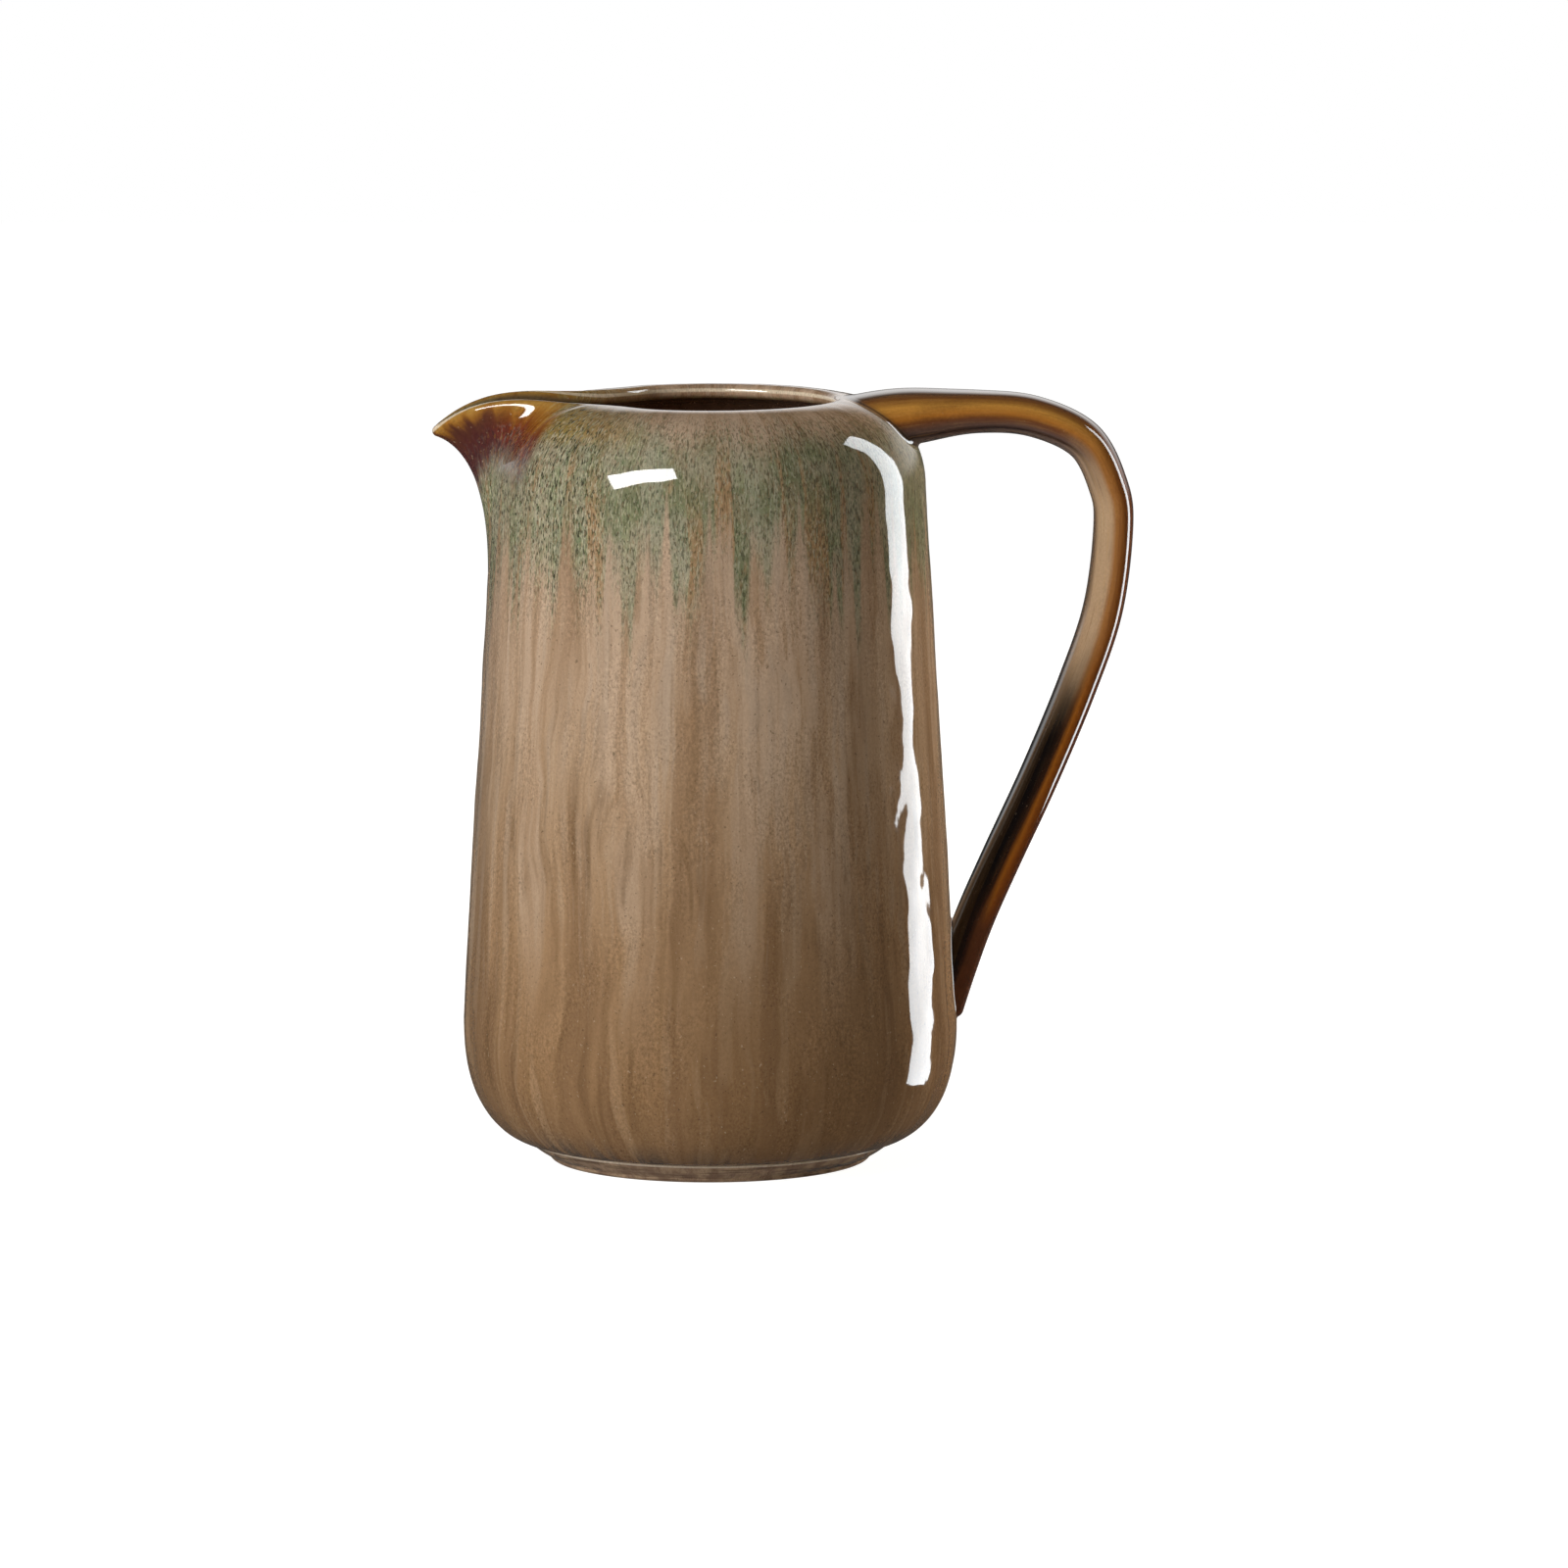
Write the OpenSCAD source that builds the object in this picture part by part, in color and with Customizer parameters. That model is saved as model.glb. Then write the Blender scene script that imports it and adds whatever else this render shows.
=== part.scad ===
// Stoneware jug: a thrown body with a drawn pouring lip, a turned foot ring and a pulled strap handle.
// Millimetres. The origin is the centre of the circle that the jug stands on, +Z is up,
// the lip points to -X and the handle to +X.

/* [Body] */
// Height of the rim above the surface that the jug stands on
rim_h = 208; // [180:0.2:240]
// Greatest radius of the body, low on the belly
belly_r = 67.5; // [60:0.5:76]
// Height of the greatest radius
belly_h = 38; // [28:0.5:60]
// Radius of the body just under the shoulder
shoulder_r = 58.7; // [50:0.1:62]
// Height of the curved shoulder, from the straight wall to the rim
shoulder_h = 24.5; // [16:0.5:32]
// Radius of the top edge of the round mouth
mouth_r = 36; // [26:0.5:42]
// Thickness of the wall
wall = 4.8; // [3.5:0.1:6]
// Thickness of the clay at the rim
rim_wall = 4; // [2.5:0.1:4.5]
// Thickness of the floor
floor_wall = 7; // [5:0.5:10]
// Radius of the rounded corner between the floor and the wall, inside
inner_corner_r = 16; // [10:0.5:20]

/* [Lip] */
// Distance from the body's axis to the outer edge of the lip's point
lip_reach = 74.2; // [66:0.2:84]
// Height that the lip's point loses below the rim
lip_drop = 10.6; // [6:0.2:16]
// Height of the stretch of wall that is drawn out to form the lip
lip_rise = 37; // [28:0.5:60]
// Angle that narrows the lip: a larger one makes a wider channel
lip_spread_deg = 7.7; // [6.5:0.1:11]
// Angle within which the lip runs out into the round mouth
lip_root_deg = 23; // [18:0.5:30]
// Angle that rounds the point of the lip
lip_round_deg = 13; // [11:0.5:18]
// Thickness of the clay at the point of the lip
lip_wall = 3; // [2:0.1:3.6]
// Depth that the mouth is pinched in on both sides of the lip
pinch_depth = 2.2; // [0:0.1:4]
// Angle between the lip and each pinch
pinch_deg = 46; // [38:1:60]
// Sag of the wall on both sides of the lip, from which it rises to the rim
lip_flank_sag = 5; // [4.4:0.1:6.4]

/* [Foot] */
// Height of the foot ring
foot_h = 5.8; // [4:0.2:9]
// Radius where the foot ring meets the body
foot_r = 50; // [46:0.5:56]
// Radius of the outer edge that the jug stands on
foot_stand_r = 44; // [42:0.2:45.8]
// Width of the clay of the foot ring, at its top
foot_wall = 10; // [6:0.5:12]
// Rounding of the edges of the foot ring
foot_round = 1.2; // [0.6:0.1:1.6]

/* [Handle] */
// Thickness of the strap, across the grip
strap_t = 10.8; // [9:0.2:14]
// Width of the strap halfway down
strap_w = 21; // [16:0.5:26]
// Width of the strap where it spreads over the shoulder
root_w = 31; // [24:0.5:36]
// Width of the strap at its lower end
tail_w = 17; // [12:0.5:20]
// Distance from the body's axis to the middle of the strap at its furthest point
handle_reach = 109.6; // [100:0.2:122]
// Height of that furthest point
handle_bow_h = 173.5; // [160:0.5:186]
// Height of the top of the strap above the rim
handle_crest = 2.0; // [-4:0.2:6]
// Height at which the tail of the handle runs out on the wall
tail_h = 38; // [30:0.5:60]

/* [Slip joints] */
// Thickness of the layer of slip that luted the handle on
slip_t = 0.8; // [0.5:0.1:1.5]
// Width of the slip that squeezed out round the handle
slip_rim = 2.2; // [1:0.1:3.5]

/* [Hidden] */

// Length by which a cutting shape reaches past the clay
overrun = 30;

// Columns round the body, closer together at the lip, and the share by which they close up
body_columns = 64;
column_crowd_share = 0.55;
corner_rings = 9;
wall_rings = 6;
lip_rings = 18;
edge_rings = 5;
inner_wall_rings = 7;
inner_corner_rings = 5;
strap_sides = 26;
strap_rings = 46;

// Shapes of the rounded stretches, as powers of their curves
corner_power_shares = [1.8, 2.4];
shoulder_power_shares = [2.1, 2.1];
lip_power_shares = [2.1, 2.6];
strap_power_share = 2.7;
// Turn of the lip's profile, short of the level
lip_turn = 78;
// How late the point of the lip drops below the rim
drop_power = 4;
pinch_spread_deg = 14;
// How much narrower the lip is low down than at the rim, and how fast it widens
narrowing_shares = [5, 1.5];
// Share of the drawn stretch that the straight wall takes, before the shoulder curves in
straight_share = 0.42;

shoulder_base = rim_h - shoulder_h;
lip_base = rim_h - lip_drop - lip_rise;
body_centre_h = foot_h + floor_wall;

// Radius of the straight wall at a height
function wall_r(z) = belly_r + (shoulder_r - belly_r) * (z - belly_h) / (shoulder_base - belly_h);

// A quarter curve from 0 to 1 with its own powers on its two axes
function rise(t, power) = pow(sin(t), 2 / power);
function run(t, power) = 1 - pow(max(0, cos(t)), 2 / power);

// Lower corner, from the foot ring out to the belly: [radius, height]
function corner_point(s) = [
    foot_r + (belly_r - foot_r) * rise(90 * s, corner_power_shares[0]),
    foot_h + (belly_h - foot_h) * run(90 * s, corner_power_shares[1])];

// Straight wall up to where the lip begins
function wall_point(s) = [wall_r(belly_h + (lip_base - belly_h) * s), belly_h + (lip_base - belly_h) * s];

// From the start of the lip up to the rim, away from the lip
function shoulder_turn(s) = 90 * (s - straight_share) / (1 - straight_share);
function shoulder_point(s) = s <= straight_share
    ? let (z = lip_base + (shoulder_base - lip_base) * s / straight_share) [wall_r(z), z]
    : [shoulder_r - (shoulder_r - mouth_r) * run(shoulder_turn(s), shoulder_power_shares[0]),
        shoulder_base + shoulder_h * rise(shoulder_turn(s), shoulder_power_shares[1])];

// The same stretch down the middle of the lip, which flares outwards
function lip_point(s) = [
    wall_r(lip_base) + (lip_reach - wall_r(lip_base)) * run(lip_turn * s, lip_power_shares[0])
        / run(lip_turn, lip_power_shares[0]),
    lip_base + lip_rise * rise(lip_turn * s, lip_power_shares[1]) / rise(lip_turn, lip_power_shares[1])];

// How much of the lip's profile a column takes, by its angle from the middle of the lip
function lip_offset(a) = sqrt(a * a + lip_round_deg * lip_round_deg) - lip_round_deg;
function lip_fall(a) = exp(-lip_offset(a) / lip_spread_deg - pow(lip_offset(a) / lip_root_deg, 4));
function pinch_share(a) = pinch_depth / (lip_reach - mouth_r)
    * exp(-pow((abs(a) - pinch_deg) / pinch_spread_deg, 2));
function lip_share(a, s) = pow(lip_fall(a), 1 + narrowing_shares[0] * pow(1 - s, narrowing_shares[1]))
    - pinch_share(a);

// Sag beside the lip: none down its middle or far from it, and greatest two thirds of the way up
function flank_share(w) = 4 * w * (1 - w);
function sag_share(s) = 27 / 4 * s * s * (1 - s);

// Point of the drawn stretch at the angle a from the middle of the lip: [radius, height]
function drawn_point(a, s) = let (w = lip_share(a, s), b = max(0, w), p = shoulder_point(s), q = lip_point(s))
    [p[0] + (q[0] - p[0]) * w,
        p[1] + (q[1] - p[1]) * pow(b, drop_power) - lip_flank_sag * flank_share(b) * sag_share(s)];

function turned(a, p) = [-p[0] * cos(a), -p[0] * sin(a), p[1]];
function drawn(a, s) = turned(a, drawn_point(a, s));

// Outward normal of the drawn stretch, from its slopes round and up. The slope round is taken over
// a wide angle, so that the inside of the lip stays round where its point is tight
slope_step = 0.01;
slope_deg = 8;
function unit(v) = v / norm(v);
function round_slope(a, s) = drawn(a + slope_deg, s) - drawn(a - slope_deg, s);
function up_slope(a, s) = drawn(a, min(1, s + slope_step)) - drawn(a, max(0, s - slope_step));
function drawn_normal(a, s) = unit(cross(round_slope(a, s), up_slope(a, s)));

// Angle of each column from the middle of the lip
function column_angle(i) = let (v = 360 * i / body_columns - 180)
    v - column_crowd_share * sin(v) * 180 / PI;

// Wall thickness of the drawn stretch, thinner towards the rim and the point of the lip
function edge_wall(a) = rim_wall + (lip_wall - rim_wall) * max(0, lip_share(a, 1));
function drawn_wall(a, s) = wall + (edge_wall(a) - wall) * s;
function inner_drawn(a, s) = drawn(a, s) - drawn_normal(a, s) * drawn_wall(a, s);

// Rounded edge of the rim, from the outer skin over to the inner one
function edge_point(a, t) = let (n = drawn_normal(a, 1), up = unit(up_slope(a, 1)), half = edge_wall(a) / 2)
    drawn(a, 1) - n * half + (n * cos(t) + up * sin(t)) * half;

// Inside of the straight wall and of the corner with the floor: [radius, height]
inner_corner_top = body_centre_h + inner_corner_r;
function inner_wall_point(s) = let (z = lip_base + (inner_corner_top - lip_base) * s) [wall_r(z) - wall, z];
function inner_corner_point(s) = let (r = inner_wall_point(1)[0])
    [r - inner_corner_r * (1 - cos(90 * s)), body_centre_h + inner_corner_r * (1 - sin(90 * s))];

outer_low = [for (i = [0:corner_rings]) corner_point(i / corner_rings)];
outer_wall = [for (i = [1:wall_rings]) wall_point(i / wall_rings)];
inner_low = concat([for (i = [1:inner_wall_rings]) inner_wall_point(i / inner_wall_rings)],
    [for (i = [1:inner_corner_rings]) inner_corner_point(i / inner_corner_rings)]);

// One column of the body, from the underside over the rim and down to the floor inside
function body_column(a) = concat(
    [for (p = outer_low) turned(a, p)],
    [for (p = outer_wall) turned(a, p)],
    [for (i = [1:lip_rings]) drawn(a, i / lip_rings)],
    [for (i = [1:edge_rings - 1]) edge_point(a, 180 * i / edge_rings)],
    [for (i = [0:lip_rings]) inner_drawn(a, 1 - i / lip_rings)],
    [for (p = inner_low) turned(a, p)]);

// Triangles of a tube of points: columns side by side, closed by a point at each end
function at(i, j, columns, rings) = (i % columns) * rings + j;
function tube_faces(columns, rings, first, last) = concat(
    [for (i = [0:columns - 1], j = [0:rings - 2], half = [0, 1]) half == 0
        ? [at(i, j, columns, rings), at(i, j + 1, columns, rings), at(i + 1, j + 1, columns, rings)]
        : [at(i, j, columns, rings), at(i + 1, j + 1, columns, rings), at(i + 1, j, columns, rings)]],
    [for (i = [0:columns - 1]) [first, at(i, 0, columns, rings), at(i + 1, 0, columns, rings)]],
    [for (i = [0:columns - 1])
        [last, at(i + 1, rings - 1, columns, rings), at(i, rings - 1, columns, rings)]]);

module tube(column_list, first_point, last_point) {
    columns = len(column_list);
    rings = len(column_list[0]);
    points = concat([for (c = column_list) each c], [first_point, last_point]);
    polyhedron(points, tube_faces(columns, rings, columns * rings, columns * rings + 1));
}

module body() {
    color([0.60, 0.50, 0.41])
        tube([for (i = [0:body_columns - 1]) body_column(column_angle(i))],
            [0, 0, foot_h], [0, 0, body_centre_h]);
}

// Foot ring: its outside draws in towards the edge that it stands on
foot_in_r = foot_r - foot_wall;
foot_lean = (foot_r - foot_stand_r) / foot_h;

module foot_ring() {
    color([0.36, 0.30, 0.25])
        rotate_extrude($fn = 120)
            polygon(concat(
                [[foot_in_r, foot_h], [foot_r, foot_h], [foot_r - foot_lean * foot_h / 2, foot_h / 2]],
                [for (t = [0:22.5:90])
                    [foot_stand_r - foot_round * (1 - cos(t)), foot_round * (1 - sin(t))]],
                [for (t = [0:22.5:90])
                    [foot_in_r + foot_round * (1 - sin(t)), foot_round * (1 - cos(t))]]));
}

// Profile of the outside away from the lip, and the directions in which it grows
plain_profile = concat(outer_low, outer_wall, [for (i = [1:lip_rings]) shoulder_point(i / lip_rings)]);
profile_last = len(plain_profile) - 1;
function profile_normal(i) =
    let (d = unit(plain_profile[min(i + 1, profile_last)] - plain_profile[max(i - 1, 0)])) [d[1], -d[0]];

// Solid that the handle and the slip sit on: the body's outside away from the lip, grown by a depth
module envelope(grow) {
    rotate_extrude($fn = 120)
        polygon(concat([[0, foot_h]],
            [for (i = [0:profile_last]) plain_profile[i] + profile_normal(i) * grow],
            [[0, rim_h + grow]]));
}

// Middle line of the strap in the XZ plane: out of the shoulder, over the bow and down into the wall.
// Each point is a share of the way out to the furthest point, and a share of the way up
grip_h = rim_h + handle_crest - strap_t / 2;
upper_shares = [[-0.456, 0.873], [-0.04, 0.95], [0.29, 0.985], [0.58, 0.94], [0.844, 0.735],
    [0.97, 0.355], [1, 0]];
lower_shares = [[0.945, 0.834], [0.794, 0.675], [0.569, 0.494], [0.322, 0.325], [0.148, 0.207],
    [0.005, 0.096], [-0.129, -0.015]];
function way_out(share, z) = let (r = z < shoulder_base ? wall_r(z) : shoulder_r)
    r + (handle_reach - r) * share;
strap_line = concat(
    [for (p = upper_shares) let (z = handle_bow_h + (grip_h - handle_bow_h) * p[1]) [way_out(p[0], z), z]],
    [for (p = lower_shares) let (z = tail_h + (handle_bow_h - tail_h) * p[1]) [way_out(p[0], z), z]]);
strap_spans = len(strap_line) - 1;

// Smooth curve through the points of the middle line, counted in spans
function strap_knot(i) = i < 0 ? 2 * strap_line[0] - strap_line[1]
    : i > strap_spans ? 2 * strap_line[strap_spans] - strap_line[strap_spans - 1] : strap_line[i];
function blend_knots(a, b, c, d, t) =
    (2 * b + (c - a) * t + (2 * a - 5 * b + 4 * c - d) * t * t + (3 * b - a - 3 * c + d) * t * t * t) / 2;
function strap_point(u) = let (i = min(floor(u), strap_spans - 1))
    blend_knots(strap_knot(i - 1), strap_knot(i), strap_knot(i + 1), strap_knot(i + 2), u - i);
function strap_way(u) =
    unit(strap_point(min(u + slope_step, strap_spans)) - strap_point(max(u - slope_step, 0)));

// The strap swells towards its root and narrows towards its tail, by the spans from the root
root_swell_share = 0.42;
root_swell_at_spans = 0.6;
root_swell_spans = 0.88;
root_spread_spans = 1.9;
tail_start_spans = 7;
function strap_thickness(u) =
    strap_t * (1 + root_swell_share * exp(-pow((u - root_swell_at_spans) / root_swell_spans, 2)));
function strap_width(u) = strap_w + (root_w - strap_w) * exp(-pow(u / root_spread_spans, 2))
    + (tail_w - strap_w) * pow(max(0, u - tail_start_spans) / (strap_spans - tail_start_spans), 2);

// Point on the strap's skin: the angle t turns round it from its outer face
function signed_power(v, power) = sign(v) * pow(abs(v), power);
function strap_skin(u, t, grow) =
    let (p = strap_point(u), way = strap_way(u),
        out = (strap_thickness(u) / 2 + grow) * signed_power(cos(t), 2 / strap_power_share),
        side = (strap_width(u) / 2 + grow) * signed_power(sin(t), 2 / strap_power_share))
    [p[0] - way[1] * out, -side, p[1] + way[0] * out];

module strap(grow) {
    tube([for (k = [0:strap_sides - 1])
            [for (j = [0:strap_rings])
                strap_skin(strap_spans * j / strap_rings, 360 * k / strap_sides, grow)]],
        [strap_line[0][0], 0, strap_line[0][1]],
        [strap_line[strap_spans][0], 0, strap_line[strap_spans][1]]);
}

module handle() {
    color([0.55, 0.38, 0.20])
        difference() {
            strap(0);
            envelope(slip_t);
        }
}

// Layer of slip between the wall and the strap, with the rim that squeezed out round it,
// kept between two heights because the strap meets the wall twice
halfway_h = (rim_h + tail_h) / 2;
module slip_joint(low, high) {
    intersection() {
        strap(slip_rim);
        difference() {
            envelope(slip_t);
            envelope(0);
        }
        translate([0, -belly_r, low])
            cube([handle_reach + overrun, 2 * belly_r, high - low]);
    }
}

module upper_slip_joint() {
    color([0.50, 0.38, 0.26])
        slip_joint(halfway_h, rim_h + overrun);
}

module lower_slip_joint() {
    color([0.50, 0.38, 0.26])
        slip_joint(0, halfway_h);
}

body();
foot_ring();
handle();
upper_slip_joint();
lower_slip_joint();
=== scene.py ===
from math import cos, pi, radians, sin

import bpy
import numpy as np
from mathutils import Matrix, Vector


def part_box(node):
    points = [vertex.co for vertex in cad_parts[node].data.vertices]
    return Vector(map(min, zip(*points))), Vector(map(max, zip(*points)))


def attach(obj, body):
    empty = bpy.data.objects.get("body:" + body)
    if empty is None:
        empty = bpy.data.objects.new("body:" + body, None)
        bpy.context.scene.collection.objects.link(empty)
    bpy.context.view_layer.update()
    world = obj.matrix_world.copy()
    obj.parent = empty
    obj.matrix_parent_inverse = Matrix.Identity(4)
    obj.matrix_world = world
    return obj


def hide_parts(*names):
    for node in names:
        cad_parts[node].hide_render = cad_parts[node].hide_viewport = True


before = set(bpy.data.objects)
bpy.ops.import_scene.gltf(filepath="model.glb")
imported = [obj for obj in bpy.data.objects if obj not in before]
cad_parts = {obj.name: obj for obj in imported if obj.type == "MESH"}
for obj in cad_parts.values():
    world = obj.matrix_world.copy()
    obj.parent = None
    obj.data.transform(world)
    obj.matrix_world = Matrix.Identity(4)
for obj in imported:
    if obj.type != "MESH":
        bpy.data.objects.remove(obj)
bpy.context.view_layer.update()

# Stoneware jug with a drawn pouring lip, a turned foot ring and a pulled strap handle. Sizes are in
# millimetres until a mesh is made. Angles round the jug are counted from the middle of the lip, which
# points to -X, towards the side of the camera.

mm = 0.001
flowRadius = 60
bodyLow, bodyHigh = (np.array(corner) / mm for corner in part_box("body"))
footHigh = np.array(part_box("foot_ring")[1]) / mm
handleHigh = np.array(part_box("handle")[1]) / mm
print("frame loaded:", ", ".join(sorted(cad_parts)))


def newObject(name, data):
    made = bpy.data.objects.new(name, data)
    bpy.context.scene.collection.objects.link(made)
    return made


# Camera

view = dict(distance=2883, elevation=7.9, aim=(20.2, 0, 102.6), lens=242.9, sensor=36, clipEnd=20)


def placeCamera():
    data = bpy.data.cameras.new("camera")
    data.lens = view["lens"]
    data.sensor_width = view["sensor"]
    data.clip_end = view["clipEnd"]
    camera = newObject("camera", data)
    aim = Vector(view["aim"]) * mm
    tilt = radians(view["elevation"])
    camera.location = aim + Vector((0, -cos(tilt), sin(tilt))) * view["distance"] * mm
    camera.rotation_euler = (aim - camera.location).to_track_quat("-Z", "Y").to_euler()
    bpy.context.scene.camera = camera


# Meshes

def unit(vectors):
    return vectors / np.maximum(np.linalg.norm(vectors, axis=-1, keepdims=True), 1e-9)


def lengthAlong(points):
    # Length from the first row of points to each row
    steps = np.linalg.norm(np.diff(points, axis=0), axis=-1)
    return np.concatenate([np.zeros((1, *steps.shape[1:])), np.cumsum(steps, 0)])


def smoothStep(value, low, high):
    share = np.clip((value - low) / (high - low), 0, 1)
    return share * share * (3 - 2 * share)


def signedPower(value, power):
    return np.sign(value) * np.abs(value) ** power


def buildMesh(name, rings, attributes, ends=True):
    # Mesh of a grid of points, rings[row, column], closed round its columns, with its normals outward.
    # With ends, a point in the middle of the first and of the last row closes it, or else the rows are
    # a loop too
    rows, columns = rings.shape[:2]
    points = rings.reshape(-1, 3)
    row = np.arange(rows - 1 if ends else rows)[:, None]
    column = np.arange(columns)[None, :]
    nextRow, nextColumn = (row + 1) % rows, (column + 1) % columns
    quads = np.stack([row * columns + column, nextRow * columns + column,
                      nextRow * columns + nextColumn, row * columns + nextColumn], -1).reshape(-1, 4)
    triangles = np.empty((0, 3), int)
    if ends:
        points = np.vstack([points, rings[0].mean(0), rings[-1].mean(0)])
        here, after, last = column[0], nextColumn[0], (rows - 1) * columns
        tip = np.full(columns, rows * columns)
        triangles = np.vstack([np.stack([here, after, tip], -1),
                               np.stack([last + after, last + here, tip + 1], -1)])
    a, b, c, d = (points[quads[:, k]] for k in range(4))
    volume = (np.cross(a, b) * c).sum() + (np.cross(a, c) * d).sum()
    if volume < 0:
        quads, triangles = quads[:, ::-1], triangles[:, ::-1]
    mesh = bpy.data.meshes.new(name)
    mesh.from_pydata((points * mm).tolist(), [], quads.tolist() + triangles.tolist())
    mesh.polygons.foreach_set("use_smooth", np.ones(len(mesh.polygons), bool))
    for label, values in attributes.items():
        values = values.reshape(rows * columns, -1)
        if ends:
            values = np.vstack([values, values[:columns].mean(0), values[-columns:].mean(0)])
        kind = "FLOAT_VECTOR" if values.shape[1] == 3 else "FLOAT"
        layer = mesh.attributes.new(label, kind, "POINT")
        layer.data.foreach_set("vector" if kind == "FLOAT_VECTOR" else "value",
                               values.astype(np.float32).ravel())
    mesh.validate()
    return newObject(name, mesh)


def gridNormals(rings):
    # Outward normals of a grid of points
    across = np.roll(rings, -1, 1) - np.roll(rings, 1, 1)
    return unit(np.cross(across, np.gradient(rings, axis=0)))


def waveSum(seed, count, around, wavelength, angle, height):
    # Sum of sines that close round the jug, each with a whole number of turns round it, a wavelength
    # up it, a phase and a lean of its own. Its root mean square is about 1
    dice = np.random.default_rng(seed)
    turns = dice.integers(*around, count)
    pitch = dice.uniform(*wavelength, count) * dice.choice([-1, 1], count)
    phase = dice.uniform(0, 2 * pi, count)
    waves = (np.sin(turns[k] * angle + 2 * pi * height / pitch[k] + phase[k]) for k in range(count))
    return sum(waves) * (2 / count) ** 0.5


# Body: a profile away from the lip, one down the middle of the lip, and the share by which each
# column goes from the one to the other. A wave has an amplitude, a seed, a number of sines, and the
# ranges of their turns round the jug and wavelengths up it

jug = dict(
    rimHeight=bodyHigh[2], bellyRadius=bodyHigh[1], footHeight=bodyLow[2], footRadius=footHigh[0],
    bellyHeight=38, shoulderRadius=58.7, shoulderHeight=24.5, mouthRadius=36,
    wall=4.8, rimWall=4, lipWall=3, floorWall=7, innerCorner=16,
    lipReach=74.2, lipDrop=10.6, lipRise=37, lipSpread=7.7, lipRoot=23, lipRound=13, flankSag=5,
    pinchDepth=2.2, pinchAngle=46, pinchSpread=14,
    cornerPowers=(1.8, 2.4), shoulderPowers=(2.1, 2.1), lipPowers=(2.1, 2.6), lipTurn=78,
    dropPower=4, straightShare=0.42, narrowing=(5, 1.5), normalAngle=8,
    columns=468, crowding=0.45,
    rings=dict(under=3, corner=26, wall=62, drawn=58, edge=10, innerDrawn=26, innerWall=8, innerCorner=8,
               floor=3),
    wobble=(0.14, 3, 5, (2, 5), (90, 240)), handleClear=(16, 40),
    ripples=((0.045, 21, 24, (12, 32), (70, 220)), (0.048, 22, 40, (9, 36), (18, 60)),
             (0.014, 12, 60, (34, 72), (7, 20))),
    rimFade=(1.5, 9), footFade=(0.5, 9), calm=0.3, calmEnd=(40, 62),
    throwing=0.12, throwingPitch=6.4, throwingFade=(8, 20))

shoulderBase = jug["rimHeight"] - jug["shoulderHeight"]
lipBase = jug["rimHeight"] - jug["lipDrop"] - jug["lipRise"]
floorTop = jug["footHeight"] + jug["floorWall"]


def rise(turn, power):
    return np.sin(turn) ** (2 / power)


def run(turn, power):
    return 1 - np.clip(np.cos(turn), 0, None) ** (2 / power)


def wallRadius(height):
    slope = (jug["shoulderRadius"] - jug["bellyRadius"]) / (shoulderBase - jug["bellyHeight"])
    return jug["bellyRadius"] + slope * (height - jug["bellyHeight"])


def cornerProfile(share):
    # Quarter curve from the foot ring out to the belly, with its own power on each axis
    turn = share * pi / 2
    out, up = jug["cornerPowers"]
    radius = jug["footRadius"] + (jug["bellyRadius"] - jug["footRadius"]) * rise(turn, out)
    return radius, jug["footHeight"] + (jug["bellyHeight"] - jug["footHeight"]) * run(turn, up)


def shoulderProfile(share):
    # Straight wall up to the straight share, then a quarter curve in to the mouth
    straight = jug["straightShare"]
    turn = pi / 2 * np.clip((share - straight) / (1 - straight), 0, 1)
    height = np.where(share <= straight, lipBase + (shoulderBase - lipBase) * share / straight,
                      shoulderBase + jug["shoulderHeight"] * rise(turn, jug["shoulderPowers"][1]))
    reach = jug["shoulderRadius"] - jug["mouthRadius"]
    curved = jug["shoulderRadius"] - reach * run(turn, jug["shoulderPowers"][0])
    return np.where(share <= straight, wallRadius(height), curved), height


def lipProfile(share):
    # Curve that flares out from the wall to the point of the lip, cut short of the level
    full = radians(jug["lipTurn"])
    start = wallRadius(lipBase)
    out, up = jug["lipPowers"]
    radius = start + (jug["lipReach"] - start) * run(full * share, out) / run(full, out)
    height = lipBase + jug["lipRise"] * rise(full * share, up) / rise(full, up)
    return radius, height


def lipShare(angle, share=1.0):
    # Falls from 1 at the middle of the lip as an exponential of the angle, rounded at its peak. Below
    # the rim, its power makes the lip narrower
    away = np.degrees(np.abs(angle))
    offset = np.sqrt(away ** 2 + jug["lipRound"] ** 2) - jug["lipRound"]
    fall = np.exp(-offset / jug["lipSpread"] - (offset / jug["lipRoot"]) ** 4)
    most, power = jug["narrowing"]
    return fall ** (1 + most * (1 - share) ** power)


def turned(angle, radius, height):
    return np.stack(np.broadcast_arrays(-radius * np.cos(angle), -radius * np.sin(angle), height), -1)


def flowAt(angle, path):
    # Coordinates for the glaze in mm: round the jug on a circle, and along the wall. Their first is
    # highest at the lip, and their second on the side of the camera
    return turned(angle, -flowRadius, path)


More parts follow.
